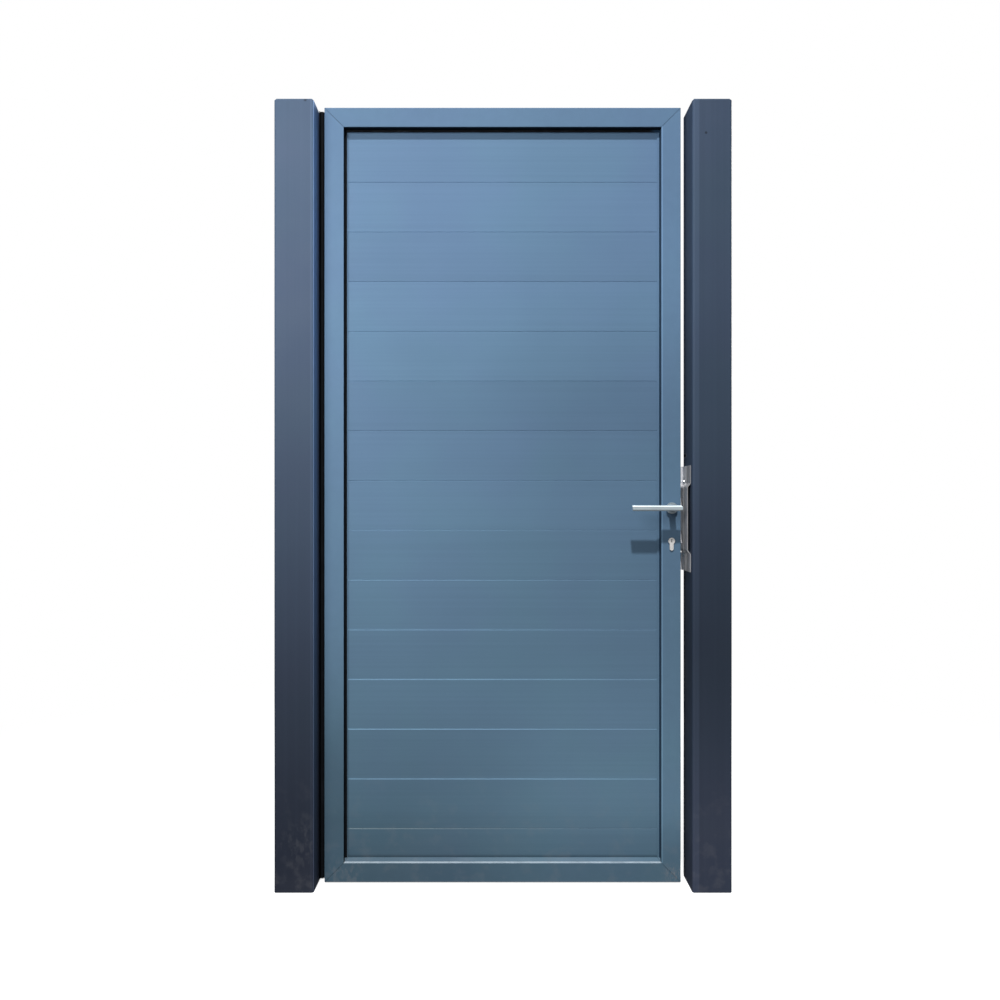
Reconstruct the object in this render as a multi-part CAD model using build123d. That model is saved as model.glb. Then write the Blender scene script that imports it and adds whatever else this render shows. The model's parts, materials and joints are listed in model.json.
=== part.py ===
from build123d import *
import math
import os

# Single-leaf aluminium garden gate between two square posts.
# Millimetres. The origin is the centre of the hinge post's foot, X runs along the gate towards the
# latch post, Y points away from the front side, and Z is up.

# Posts
POST_WIDTH = 100.0
POST_WALL = 3.0
POST_CORNER = 6.0
POST_OVER_LEAF = 0.0
CAP_PLATE = 8.0
CAP_EDGE = 5.0
CAP_SKIRT = 20.0
CAP_SKIRT_WALL = 2.5
CAP_FIT = 0.3

# Leaf and the gaps around it
LEAF_WIDTH = 921.0
LEAF_HEIGHT = 2002.0
LEAF_DEPTH = 50.0
GROUND_GAP = 3.0
HINGE_GAP = 17.0
LATCH_GAP = 18.0

# Extruded frame profile: a box with two lips that make the groove for the boards
FRAME_FACE = 50.0
FRAME_WALL = 2.0
FRAME_CORNER = 1.5
LIP_HEIGHT = 8.0
LIP_THICK = 2.0
LIP_PLAY = 0.3
MITRE_GAP = 0.4

# Tongue and groove boards
BOARD_THICK = 16.0
BOARD_PITCH = 129.5
BOARD_JOINT = 0.3
BOARD_BEVEL = 0.8
BOARD_WALL = 1.4
BOARD_CELLS = 3
BOARD_END_PLAY = 1.0
BOARD_SEAT = 0.3
CLOSING_BOARD_LEAST = 40.0
TONGUE_THICK = 6.0
TONGUE_HEIGHT = 6.0
TONGUE_PLAY = 0.3

# Lift-off hinges on the back faces
HINGE_LENGTH = 110.0
HINGE_PLATE = 4.0
HINGE_PLATE_WIDTH = 34.0
HINGE_PLATE_CORNER = 6.0
HINGE_FROM_END = 220.0
KNUCKLE_RADIUS = 8.0
KNUCKLES = 2
KNUCKLE_GAP = 0.4
KNUCKLE_CLEAR = 1.0
PIN_RADIUS = 5.0
PIN_SEAT = 0.02
PIN_PLAY = 0.05
PIN_HEAD_RADIUS = 7.0
PIN_HEAD = 4.0

# Rubber seal in the gap on the hinge side
SEAL_BASE = 2.0
SEAL_WIDTH = 18.0
SEAL_BULB_RADIUS = 5.5
SEAL_SKIN = 1.2
SEAL_FROM_BACK = 23.0

# Lock
LEVER_HEIGHT = 970.0
LOCK_BACKSET = 24.0
LOCK_CENTRES = 85.0
FOREND_WIDTH = 24.0
FOREND_LENGTH = 250.0
FOREND_THICK = 3.0
FOREND_FIT = 0.3
CASE_DEEP = 40.0
CASE_THICK = 16.0
CASE_LENGTH = 200.0
FOLLOWER_RADIUS = 7.0
LATCH_RISE = 17.0
LATCH_TALL = 22.0
LATCH_THICK = 12.0
LATCH_PROUD = 0.5
BOLT_RISE = 10.0
BOLT_TALL = 26.0
BOLT_THICK = 12.0
BOLT_LENGTH = 12.0
BOLT_FIT = 0.2

# Euro profile cylinder
CYLINDER_RADIUS = 8.5
CYLINDER_WEB = 10.0
CYLINDER_HEIGHT = 33.0
CYLINDER_PROUD = 3.0
CYLINDER_FIT = 0.3
PLUG_RADIUS = 6.5
PLUG_FIT = 0.05
PLUG_LENGTH = 22.0
KEYWAY_WIDTH = 2.4
KEYWAY_HEIGHT = 8.5
KEYWAY_DEEP = 18.0

# Lever handles
LEVER_LENGTH = 110.0
LEVER_TAIL = 17.5
LEVER_TALL = 15.0
LEVER_DEEP = 16.0
LEVER_STANDOFF = 52.0
LEVER_ROUND = 5.0
LEVER_TIP_SLANT = 2.0
NECK_RADIUS = 8.0
NECK_START = 1.0
ROSE_RADIUS = 14.5
ROSE_THICK = 8.0
ROSE_PLAY = 0.3
SPINDLE = 8.0
SPINDLE_FIT = 0.1
SPINDLE_IN_NECK = 22.0
SPINDLE_WINDOW = 16.0

# Keep on the latch post: a strip bent to a raised bridge between two flat tabs
KEEP_THICK = 2.5
KEEP_RISE = 10.0
KEEP_WIDTH = 80.0
KEEP_FROM_BACK = 2.0
KEEP_OVER_LATCH = 37.0
KEEP_UNDER_BOLT = 33.0
KEEP_TAB = 55.0
KEEP_JOGGLE = 9.0
KEEP_BEND = 5.0
KEEP_SLOT_WIDTH = 17.0
KEEP_SLOT_PLAY = 3.0
SPARE_HOLE_RADIUS = 2.6
SPARE_HOLE_OVER_KEEP = 28.0
SPARE_HOLE_FROM_BACK = 20.0

# Places worked out from the sizes above
HALF_POST = POST_WIDTH / 2
POST_BACK = HALF_POST
LEAF_BACK = POST_BACK
LEAF_FRONT = LEAF_BACK - LEAF_DEPTH
LEAF_MIDDLE = (LEAF_FRONT + LEAF_BACK) / 2
LEAF_LEFT = HALF_POST + HINGE_GAP
LEAF_RIGHT = LEAF_LEFT + LEAF_WIDTH
LEAF_BOTTOM = GROUND_GAP
LEAF_TOP = LEAF_BOTTOM + LEAF_HEIGHT
POST_HEIGHT = LEAF_TOP + POST_OVER_LEAF - CAP_PLATE
LATCH_FACE = LEAF_RIGHT + LATCH_GAP
LATCH_POST_X = LATCH_FACE + HALF_POST
HINGE_X = HALF_POST + HINGE_GAP / 2
HINGE_Y = LEAF_BACK + KNUCKLE_RADIUS
SPINDLE_X = LEAF_RIGHT - LOCK_BACKSET
CYLINDER_Z = LEVER_HEIGHT - LOCK_CENTRES
LATCH_Z = LEVER_HEIGHT + LATCH_RISE
BOLT_Z = CYLINDER_Z + BOLT_RISE
LOCK_MIDDLE_Z = (LEVER_HEIGHT + CYLINDER_Z) / 2
FOREND_BACK = LEAF_RIGHT - FOREND_THICK
KEEP_BRIDGE_TOP = LATCH_Z + KEEP_OVER_LATCH
KEEP_BRIDGE_BOTTOM = BOLT_Z - KEEP_UNDER_BOLT
KEEP_TOP = KEEP_BRIDGE_TOP + KEEP_TAB
KEEP_BOTTOM = KEEP_BRIDGE_BOTTOM - KEEP_TAB


def box_between(low, high):
    """A box from its lowest to its highest corner."""
    size = [b - a for a, b in zip(low, high)]
    return Pos(*low) * Box(*size, align=(Align.MIN, Align.MIN, Align.MIN))


def prism_along_y(sketch, x, z, front, back):
    """A sketch in X and Z, extruded from the front to the back."""
    plane = Plane(origin=(x, back, z), x_dir=(1, 0, 0), z_dir=(0, -1, 0))
    return extrude(plane * sketch, back - front)


def post_tube(x):
    """A hollow square post standing at x."""
    inner_width = POST_WIDTH - 2 * POST_WALL
    section = RectangleRounded(POST_WIDTH, POST_WIDTH, POST_CORNER)
    section -= Rectangle(inner_width, inner_width)
    return Pos(x, 0, 0) * extrude(section, POST_HEIGHT)


def latch_post():
    """The latch post, with one spare drilled hole in the wall that faces the leaf."""
    drill = Cylinder(SPARE_HOLE_RADIUS, 4 * POST_WALL, rotation=(0, 90, 0))
    hole_y = POST_BACK - SPARE_HOLE_FROM_BACK
    hole_z = KEEP_TOP + SPARE_HOLE_OVER_KEEP
    return post_tube(LATCH_POST_X) - Pos(LATCH_FACE, hole_y, hole_z) * drill


def post_cap(x):
    """A flat cap with a bevelled rim and a skirt that drops inside the tube."""
    plate = extrude(RectangleRounded(POST_WIDTH, POST_WIDTH, POST_CORNER), CAP_PLATE)
    plate = chamfer(plate.edges().group_by(Axis.Z)[-1], CAP_EDGE)
    outer = POST_WIDTH - 2 * POST_WALL - 2 * CAP_FIT
    inner = outer - 2 * CAP_SKIRT_WALL
    skirt = Rectangle(outer, outer) - Rectangle(inner, inner)
    return Pos(x, 0, POST_HEIGHT) * (plate + extrude(skirt, -CAP_SKIRT))


def frame_profile():
    """The frame's section: depth along the sketch's x, from the outer edge inwards along its y."""
    low = (Align.MIN, Align.MIN)
    section = RectangleRounded(LEAF_DEPTH, FRAME_FACE, FRAME_CORNER, align=low)
    hollow = Rectangle(LEAF_DEPTH - 2 * FRAME_WALL, FRAME_FACE - 2 * FRAME_WALL, align=low)
    section -= Pos(FRAME_WALL, FRAME_WALL) * hollow
    lip_from_middle = BOARD_THICK / 2 + LIP_PLAY + LIP_THICK / 2
    for side in (-1, 1):
        lip = Rectangle(LIP_THICK, LIP_HEIGHT + FRAME_WALL, align=(Align.CENTER, Align.MIN))
        section += Pos(LEAF_DEPTH / 2 + side * lip_from_middle, FRAME_FACE - FRAME_WALL) * lip
    return section


def frame_member(length):
    """A frame bar along X with its outer edge at z 0 and both ends mitred."""
    bar = extrude(Plane.YZ * frame_profile(), length)
    for end, inwards in ((0, 1), (length, -1)):
        mitre = Plane(origin=(end, 0, 0), z_dir=(inwards, 0, -1)).offset(MITRE_GAP / 2)
        bar = split(bar, bisect_by=mitre, keep=Keep.TOP)
    return bar


def bottom_rail():
    return Pos(LEAF_LEFT, LEAF_FRONT, LEAF_BOTTOM) * frame_member(LEAF_WIDTH)


def top_rail():
    return Pos(LEAF_RIGHT, LEAF_FRONT, LEAF_TOP) * Rot(0, 180, 0) * frame_member(LEAF_WIDTH)


def hinge_stile():
    return Pos(LEAF_LEFT, LEAF_FRONT, LEAF_TOP) * Rot(0, 90, 0) * frame_member(LEAF_HEIGHT)


def lock_stile():
    """The stile that holds the lock: cut for the forend, the spindle and the cylinder."""
    stile = Pos(LEAF_RIGHT, LEAF_FRONT, LEAF_BOTTOM) * Rot(0, -90, 0) * frame_member(LEAF_HEIGHT)
    stile -= forend_block(FOREND_FIT)
    front, back = LEAF_FRONT - FRAME_WALL, LEAF_BACK + FRAME_WALL
    window = Rectangle(SPINDLE_WINDOW, SPINDLE_WINDOW)
    stile -= prism_along_y(window, SPINDLE_X, LEVER_HEIGHT, front, back)
    stile -= prism_along_y(euro_profile(CYLINDER_FIT), SPINDLE_X, CYLINDER_Z, front, back)
    return stile


def board_profile(cover, grooved):
    """A hollow board's section: thickness along the sketch's x, height along its y."""
    middle_up = (Align.CENTER, Align.MIN)
    section = Rectangle(BOARD_THICK, cover, align=middle_up)
    section = chamfer(section.vertices(), BOARD_BEVEL)
    section += Pos(0, cover) * Rectangle(TONGUE_THICK, TONGUE_HEIGHT, align=middle_up)
    cells_low = BOARD_WALL
    if grooved:
        groove_deep = TONGUE_HEIGHT + TONGUE_PLAY
        section -= Rectangle(TONGUE_THICK + 2 * TONGUE_PLAY, groove_deep, align=middle_up)
        cells_low += groove_deep
    cells_high = cover - BOARD_WALL
    cell_pitch = (cells_high - cells_low + BOARD_WALL) / BOARD_CELLS
    cell = Rectangle(BOARD_THICK - 2 * BOARD_WALL, cell_pitch - BOARD_WALL, align=middle_up)
    for i in range(BOARD_CELLS):
        section -= Pos(0, cells_low + i * cell_pitch) * cell
    return section


def infill_boards():
    """Whole boards from the top down, and a narrow closing board that stands on the rail."""
    length = LEAF_WIDTH - 2 * FRAME_FACE - 2 * BOARD_END_PLAY
    left = LEAF_LEFT + FRAME_FACE + BOARD_END_PLAY
    shoulder = LEAF_TOP - FRAME_FACE - BOARD_END_PLAY - TONGUE_HEIGHT
    seat = LEAF_BOTTOM + FRAME_FACE + BOARD_SEAT
    whole_boards = math.floor((shoulder - seat - CLOSING_BOARD_LEAST) / BOARD_PITCH)
    closing_cover = shoulder - whole_boards * BOARD_PITCH - seat
    board = extrude(Plane.YZ * board_profile(BOARD_PITCH - BOARD_JOINT, True), length)
    closing_board = extrude(Plane.YZ * board_profile(closing_cover, False), length)
    boards = {"closing_board": Pos(left, LEAF_MIDDLE, seat) * closing_board}
    for i in range(1, whole_boards + 1):
        low = shoulder - i * BOARD_PITCH + BOARD_JOINT
        boards[f"board_{i:02d}"] = Pos(left, LEAF_MIDDLE, low) * board
    return boards


def gap_seal():
    """A hollow bulb seal along the hinge post's inner face, as tall as the leaf."""
    bulb_x = SEAL_BASE + SEAL_BULB_RADIUS - SEAL_SKIN
    section = Rectangle(SEAL_BASE, SEAL_WIDTH, align=(Align.MIN, Align.CENTER))
    section += Pos(bulb_x, 0) * Circle(SEAL_BULB_RADIUS)
    section -= Pos(bulb_x, 0) * Circle(SEAL_BULB_RADIUS - SEAL_SKIN)
    return Pos(HALF_POST, POST_BACK - SEAL_FROM_BACK, LEAF_BOTTOM) * extrude(section, LEAF_HEIGHT)


def hinge_half(z_low, side):
    """One half of a hinge: a plate and its knuckles. Side is -1 on the post, 1 on the leaf."""
    plate_edge = KNUCKLE_RADIUS + KNUCKLE_CLEAR
    plate = Box(HINGE_PLATE_WIDTH, HINGE_PLATE, HINGE_LENGTH, align=(Align.MIN, Align.MIN, Align.MIN))
    outer_corners = plate.edges().filter_by(Axis.Y).group_by(Axis.X)[-1]
    half = Pos(plate_edge, -KNUCKLE_RADIUS, 0) * chamfer(outer_corners, HINGE_PLATE_CORNER)
    length = (HINGE_LENGTH - (KNUCKLES - 1) * KNUCKLE_GAP) / KNUCKLES
    first = 0 if side < 0 else 1
    for i in range(first, KNUCKLES, 2):
        low = i * (length + KNUCKLE_GAP)
        barrel = Cylinder(KNUCKLE_RADIUS, length, align=(Align.CENTER, Align.CENTER, Align.MIN))
        half += Pos(0, 0, low) * barrel
        half += box_between(
            (0, -KNUCKLE_RADIUS, low), (plate_edge, HINGE_PLATE - KNUCKLE_RADIUS, low + length)
        )
    if side < 0:
        half = mirror(half, about=Plane.YZ)
    bore = PIN_RADIUS + (PIN_SEAT if side < 0 else PIN_PLAY)
    half -= Cylinder(bore, HINGE_LENGTH, align=(Align.CENTER, Align.CENTER, Align.MIN))
    return Pos(HINGE_X, HINGE_Y, z_low) * half


def hinge_pin(z_low):
    """The pin that the leaf's knuckle lifts off, with a head under the post's knuckle."""
    pin = Cylinder(PIN_RADIUS, HINGE_LENGTH, align=(Align.CENTER, Align.CENTER, Align.MIN))
    pin += Cylinder(PIN_HEAD_RADIUS, PIN_HEAD, align=(Align.CENTER, Align.CENTER, Align.MAX))
    return Pos(HINGE_X, HINGE_Y, z_low) * pin


def hinges():
    """Three hinges: near the top, in the middle and near the bottom of the leaf."""
    low = LEAF_BOTTOM + HINGE_FROM_END
    high = LEAF_TOP - HINGE_FROM_END - HINGE_LENGTH
    made = {}
    for name, z_low in (("top", high), ("middle", (low + high) / 2), ("bottom", low)):
        made[f"hinge_{name}_post_half"] = hinge_half(z_low, -1)
        made[f"hinge_{name}_leaf_half"] = hinge_half(z_low, 1)
        made[f"hinge_{name}_pin"] = hinge_pin(z_low)
    return made


def forend_block(grow):
    """The forend's block in the stile's edge, larger by grow on each side."""
    half_width, half_length = FOREND_WIDTH / 2 + grow, FOREND_LENGTH / 2 + grow
    return box_between(
        (FOREND_BACK, LEAF_MIDDLE - half_width, LOCK_MIDDLE_Z - half_length),
        (LEAF_RIGHT, LEAF_MIDDLE + half_width, LOCK_MIDDLE_Z + half_length),
    )


def bolt_block(z, tall, thick, inner_end, outer_end, grow=0.0):
    """A lock bolt's block, larger by grow round its section."""
    return box_between(
        (inner_end, LEAF_MIDDLE - thick / 2 - grow, z - tall / 2 - grow),
        (outer_end, LEAF_MIDDLE + thick / 2 + grow, z + tall / 2 + grow),
    )


def latch_block(grow=0.0):
    outer_end = LEAF_RIGHT + LATCH_PROUD
    return bolt_block(LATCH_Z, LATCH_TALL, LATCH_THICK, SPINDLE_X + FOLLOWER_RADIUS, outer_end, grow)


def dead_bolt_block(grow=0.0):
    return bolt_block(BOLT_Z, BOLT_TALL, BOLT_THICK, LEAF_RIGHT - BOLT_LENGTH, LEAF_RIGHT, grow)


def latch_bolt():
    """The drawn-back latch, bevelled on the side that meets the keep as the leaf closes."""
    bolt = latch_block()
    nose = bolt.edges().filter_by(Axis.Z).group_by(Axis.X)[-1].sort_by(Axis.Y)[0]
    return chamfer(nose, LATCH_THICK / 2)


def lock_forend():
    plate = forend_block(0.0)
    plate = fillet(plate.edges().filter_by(Axis.X), FOREND_WIDTH / 2 - FOREND_FIT)
    return plate - latch_block(BOLT_FIT) - dead_bolt_block(BOLT_FIT)


def lock_case():
    """The lock's case inside the stile, on the back of the forend."""
    case = box_between(
        (FOREND_BACK - CASE_DEEP, LEAF_MIDDLE - CASE_THICK / 2, LOCK_MIDDLE_Z - CASE_LENGTH / 2),
        (FOREND_BACK, LEAF_MIDDLE + CASE_THICK / 2, LOCK_MIDDLE_Z + CASE_LENGTH / 2),
    )
    case -= latch_block(BOLT_FIT) + dead_bolt_block(BOLT_FIT)
    case -= prism_along_y(Circle(FOLLOWER_RADIUS), SPINDLE_X, LEVER_HEIGHT, LEAF_FRONT, LEAF_BACK)
    window_top = CYLINDER_Z + CYLINDER_RADIUS + CYLINDER_FIT
    window_width = 2 * (CYLINDER_RADIUS + CYLINDER_FIT)
    window_height = CYLINDER_HEIGHT + 2 * CYLINDER_FIT
    window = Rectangle(window_width, window_height, align=(Align.CENTER, Align.MAX))
    return case - prism_along_y(window, SPINDLE_X, window_top, LEAF_FRONT, LEAF_BACK)


def euro_profile(grow):
    """The keyhole-shaped section of a profile cylinder, its plug's axis at the sketch's origin."""
    foot_radius = CYLINDER_WEB / 2
    foot_drop = CYLINDER_HEIGHT - CYLINDER_RADIUS - foot_radius
    section = Circle(CYLINDER_RADIUS + grow)
    section += Rectangle(CYLINDER_WEB + 2 * grow, foot_drop, align=(Align.CENTER, Align.MAX))
    section += Pos(0, -foot_drop) * Circle(foot_radius + grow)
    return section


def cylinder_body():
    front, back = LEAF_FRONT - CYLINDER_PROUD, LEAF_BACK + CYLINDER_PROUD
    body = prism_along_y(euro_profile(0.0), SPINDLE_X, CYLINDER_Z, front, back)
    bore = Circle(PLUG_RADIUS + PLUG_FIT)
    body -= prism_along_y(bore, SPINDLE_X, CYLINDER_Z, front, front + PLUG_LENGTH)
    body -= prism_along_y(bore, SPINDLE_X, CYLINDER_Z, back - PLUG_LENGTH, back)
    return body


def cylinder_plugs():
    """The two plugs, front and back, each with its keyway."""
    front, back = LEAF_FRONT - CYLINDER_PROUD, LEAF_BACK + CYLINDER_PROUD
    plug, keyway = Circle(PLUG_RADIUS), Rectangle(KEYWAY_WIDTH, KEYWAY_HEIGHT)
    front_plug = prism_along_y(plug, SPINDLE_X, CYLINDER_Z, front, front + PLUG_LENGTH)
    front_plug -= prism_along_y(keyway, SPINDLE_X, CYLINDER_Z, front, front + KEYWAY_DEEP)
    back_plug = prism_along_y(plug, SPINDLE_X, CYLINDER_Z, back - PLUG_LENGTH, back)
    back_plug -= prism_along_y(keyway, SPINDLE_X, CYLINDER_Z, back - KEYWAY_DEEP, back)
    return Compound([front_plug.solid(), back_plug.solid()])


def rose_front():
    """A round rose with a hole for the lever's neck."""
    ring = Circle(ROSE_RADIUS) - Circle(NECK_RADIUS + ROSE_PLAY)
    return prism_along_y(ring, SPINDLE_X, LEVER_HEIGHT, LEAF_FRONT - ROSE_THICK, LEAF_FRONT)


def lever_front():
    """The lever: a soft-edged bar with a slanted tip and a round tail, on a round neck."""
    half = LEVER_TALL / 2
    tail = LEVER_TAIL - half
    tip_low = (LEVER_TIP_SLANT - LEVER_LENGTH, -half)
    outline = Polygon((-LEVER_LENGTH, half), tip_low, (tail, -half), (tail, half), align=None)
    outline += Pos(tail, 0) * Circle(half)
    face = LEAF_FRONT - LEVER_STANDOFF
    blank = prism_along_y(outline, SPINDLE_X, LEVER_HEIGHT, face, face + LEVER_DEEP)
    section = RectangleRounded(LEVER_DEEP, LEVER_TALL, LEVER_ROUND)
    bar = extrude(Plane.YZ * section, LEVER_LENGTH + LEVER_TAIL)
    lever = blank & Pos(SPINDLE_X - LEVER_LENGTH, face + LEVER_DEEP / 2, LEVER_HEIGHT) * bar
    lever += prism_along_y(
        Circle(NECK_RADIUS), SPINDLE_X, LEVER_HEIGHT, face + LEVER_DEEP / 2, LEAF_FRONT - NECK_START
    )
    socket = SPINDLE + 2 * SPINDLE_FIT
    return lever - prism_along_y(
        Rectangle(socket, socket), SPINDLE_X, LEVER_HEIGHT, LEAF_FRONT - SPINDLE_IN_NECK, LEAF_FRONT
    )


def to_back(piece):
    """The same piece on the back of the leaf."""
    return mirror(piece, about=Plane.XZ.offset(-LEAF_MIDDLE))


def lever_spindle():
    inset = SPINDLE_IN_NECK - SPINDLE_FIT
    return prism_along_y(
        Rectangle(SPINDLE, SPINDLE), SPINDLE_X, LEVER_HEIGHT, LEAF_FRONT - inset, LEAF_BACK + inset
    )


def latch_keep():
    """The keep: one bent strip, tabs flat on the post and a raised bridge with slots for the bolts."""
    tab_x = LATCH_FACE - KEEP_THICK / 2
    bridge_x = LATCH_FACE - KEEP_RISE + KEEP_THICK / 2
    route = FilletPolyline(
        (tab_x, KEEP_BOTTOM),
        (tab_x, KEEP_BRIDGE_BOTTOM - KEEP_JOGGLE),
        (bridge_x, KEEP_BRIDGE_BOTTOM),
        (bridge_x, KEEP_BRIDGE_TOP),
        (tab_x, KEEP_BRIDGE_TOP + KEEP_JOGGLE),
        (tab_x, KEEP_TOP),
        radius=KEEP_BEND,
    )
    back = POST_BACK - KEEP_FROM_BACK
    strip = prism_along_y(trace(route, KEEP_THICK), 0, 0, back - KEEP_WIDTH, back)
    outer_end = LATCH_FACE - KEEP_THICK
    for z, tall in ((LATCH_Z, LATCH_TALL), (BOLT_Z, BOLT_TALL)):
        slot_tall = tall + 2 * KEEP_SLOT_PLAY
        strip -= bolt_block(z, slot_tall, KEEP_SLOT_WIDTH, LATCH_FACE - 2 * KEEP_RISE, outer_end)
    return strip


def gate():
    """Every piece of the gate by its node name."""
    pieces = {
        "hinge_post": post_tube(0),
        "hinge_post_cap": post_cap(0),
        "latch_post": latch_post(),
        "latch_post_cap": post_cap(LATCH_POST_X),
        "latch_keep": latch_keep(),
        "hinge_gap_seal": gap_seal(),
        "hinge_stile": hinge_stile(),
        "lock_stile": lock_stile(),
        "top_rail": top_rail(),
        "bottom_rail": bottom_rail(),
        "lock_forend": lock_forend(),
        "lock_case": lock_case(),
        "latch_bolt": latch_bolt(),
        "dead_bolt": dead_bolt_block(),
        "cylinder_body": cylinder_body(),
        "cylinder_plugs": cylinder_plugs(),
        "rose_front": rose_front(),
        "rose_back": to_back(rose_front()),
        "lever_front": lever_front(),
        "lever_back": to_back(lever_front()),
        "lever_spindle": lever_spindle(),
    }
    pieces.update(infill_boards())
    pieces.update(hinges())
    return pieces


os.makedirs("parts", exist_ok=True)
for name, piece in gate().items():
    export_step(piece, f"parts/{name}.step")
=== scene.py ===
"""Finishes, small trim, screws and studio for a boarded aluminium garden gate between two posts."""

import json
import math

import bmesh
import bpy
from bpy.props import FloatProperty, FloatVectorProperty, IntProperty, PointerProperty
from bpy.types import Operator, Panel, PropertyGroup
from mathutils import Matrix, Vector


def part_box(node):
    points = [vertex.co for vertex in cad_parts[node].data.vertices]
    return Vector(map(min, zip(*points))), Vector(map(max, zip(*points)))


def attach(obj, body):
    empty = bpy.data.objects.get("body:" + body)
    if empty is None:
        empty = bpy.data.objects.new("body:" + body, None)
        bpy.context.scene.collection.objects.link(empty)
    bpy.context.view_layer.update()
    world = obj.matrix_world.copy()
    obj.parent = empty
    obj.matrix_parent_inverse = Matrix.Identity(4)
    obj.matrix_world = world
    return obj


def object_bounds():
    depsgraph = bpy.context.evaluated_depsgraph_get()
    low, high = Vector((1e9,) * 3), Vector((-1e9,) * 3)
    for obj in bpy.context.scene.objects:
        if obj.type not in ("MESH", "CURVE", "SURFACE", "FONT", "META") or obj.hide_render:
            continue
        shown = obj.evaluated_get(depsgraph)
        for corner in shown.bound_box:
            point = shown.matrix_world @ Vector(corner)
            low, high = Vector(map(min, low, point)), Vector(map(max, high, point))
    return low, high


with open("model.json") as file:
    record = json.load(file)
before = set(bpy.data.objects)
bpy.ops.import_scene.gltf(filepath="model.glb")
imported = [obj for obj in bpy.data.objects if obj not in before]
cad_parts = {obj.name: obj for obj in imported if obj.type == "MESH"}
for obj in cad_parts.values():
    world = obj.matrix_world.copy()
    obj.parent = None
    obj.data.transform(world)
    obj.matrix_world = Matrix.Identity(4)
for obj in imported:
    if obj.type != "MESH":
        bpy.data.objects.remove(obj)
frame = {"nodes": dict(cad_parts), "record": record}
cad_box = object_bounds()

bl_info = {
    "name": "Boarded aluminium gate",
    "version": (1, 0, 0),
    "blender": (4, 5, 0),
    "location": "View3D > Sidebar > Gate",
    "description": "Finishes, trim, screws and studio for a boarded aluminium garden gate",
    "category": "Object",
}

MM = 0.001

# Places read from the frame, in metres
LEAF_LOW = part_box("hinge_stile")[0]
LEAF_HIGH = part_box("lock_stile")[1]
BOARD_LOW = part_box("board_01")[0]
BOARD_PITCH = BOARD_LOW.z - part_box("board_02")[0].z
LAST_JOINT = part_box("board_14")[0].z
GATE_TOP = cad_box[1].z

# Sizes of what the screws and the trim sit on, in millimetres
HINGE_PLATE_THICK = 4.0
FOREND_SCREW_FROM_END = 12.0
CYLINDER_SCREW_RISE = 6.0
KEEP_PLATE = 2.5
KEEP_TAB_TALL = 46.0
KEEP_GUARD_FROM_BACK = 12.0
KEEP_SCREW_FROM_BACK = 17.0
KEEP_SCREW_FROM_END = 41.0
NECK_RADIUS = 8.0
LEVER_DEEP = 16.0
GRUB_SUNK = 0.4
BEAD_NOSE = 0.8

# A hinge plate's screws: share of its height, and sway to the side in millimetres
HINGE_SCREWS = ((0.16, -5.0), (0.5, 5.0), (0.84, -5.0))

# Shapes of the trim and the screws, as shares of a depth, a radius or a height
BEAD_BROW = 0.12
GASKET_STEPS = 8
HEAD_HEIGHT = 0.5
HEAD_RINGS = 5
DOME_HOLLOW = 0.62
DOME_POWER = 3.0
SLOT_LONG = 1.05
SLOT_WIDE = 0.24
SLOT_DEEP = 1.1
SCREW_TURN = 0.9

# Noise cycles in a metre along X, Y and Z
BOARD_GRAIN = (0.8, 160.0, 160.0)
POST_GRAIN = (150.0, 150.0, 0.6)
FRAME_GRAIN = (40.0, 40.0, 40.0)
FRAME_PEEL = (60.0, 60.0, 60.0)
HINGE_GRAIN = (120.0, 120.0, 120.0)
SCRATCH_GRAIN = (700.0, 60.0, 90.0)
LEVER_BRUSH = (10.0, 700.0, 700.0)
FOREND_BRUSH = (900.0, 900.0, 14.0)
KEEP_BRUSH = (500.0, 260.0, 8.0)
FINE_BRUSH = (500.0, 500.0, 500.0)
HEAD_BRUSH = (400.0, 400.0, 400.0)
PIN_BRUSH = (300.0, 300.0, 300.0)
CASE_BRUSH = (60.0, 60.0, 60.0)

# Where a noise turns from nothing to all
WIDE_NOISE = (0.25, 0.75)
SOFT_NOISE = (0.3, 0.7)
STAIN_NOISE = (0.52, 0.72)

# Contrast of the coats' clouds, streaks and boards, and of brushed lines
CLOUDS = 0.035
WARMTH = (0.496, 0.504)
BOARD_STREAKS = 0.025
FRAME_STREAKS = 0.02
POST_STREAKS = 0.03
BOARD_TONES = (0.965, 1.035)
BRUSHED = 0.16
KEEP_BRUSHED = 0.22

# Heights between which the coats' tones change, in metres; many of these tones are painted light and shade
FOOT_SHADE = (0.05, 0.22)
LOW_SHADE = (0.10, 0.75)
MIDDLE_RISE = (0.35, 1.10)
MIDDLE_FALL = (1.10, 1.70)
FRAME_TOP_SHADE = (1.50, 1.95)
STILE_RISE = (0.06, 0.18)
STILE_FALL = (0.25, 0.60)
LIT_JOINTS = (0.10, 1.25)
LATCH_POST_EVEN = 0.7

# How much those tones lighten or darken; many are painted light and shade, while the mitre's are the coat's
# own tones and dirt
FOOT_TONE = 0.72
LOW_TONES = (-0.16, 0.20)
MIDDLE_DULL = 0.18
LOCK_SIDE_SHADE = 0.05
FRAME_TOP_TONE = 0.90
STILE_DULL = 0.27
EDGE_GLOW = 0.40
MITRE_SIDES = (1.02, 0.98)
MITRE_TONE = 0.74
JOINT_GLOW = 1.15
JOINT_GLOW_HIGH = 0.12
JOINT_GLOW_LOCK_SIDE = 0.45
BEAD_SHADE_TONE = 0.55
LATCH_POST_FOOT_LIGHT = 1.85
INNER_SIDE_GLOW = 4.2
POST_EDGE_GLOW = 0.30

# Dust and dirt, and the painted highlights and shade set among them, as shares
SMEARS = 2.4
SMEAR_COVER = 0.9
FILM_COVER = 0.35
SCRATCHES = 0.65
LOWEST_JOINT_HIGHLIGHT = 0.32
LEDGE_HIGHLIGHT = (0.34, 0.46)
REVEAL_SHADE_AMOUNT = 0.93
REVEAL_SHADE_LOCK_SIDE = 0.55
CHIPS = 0.7
HOLE_RIM = 0.35

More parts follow.
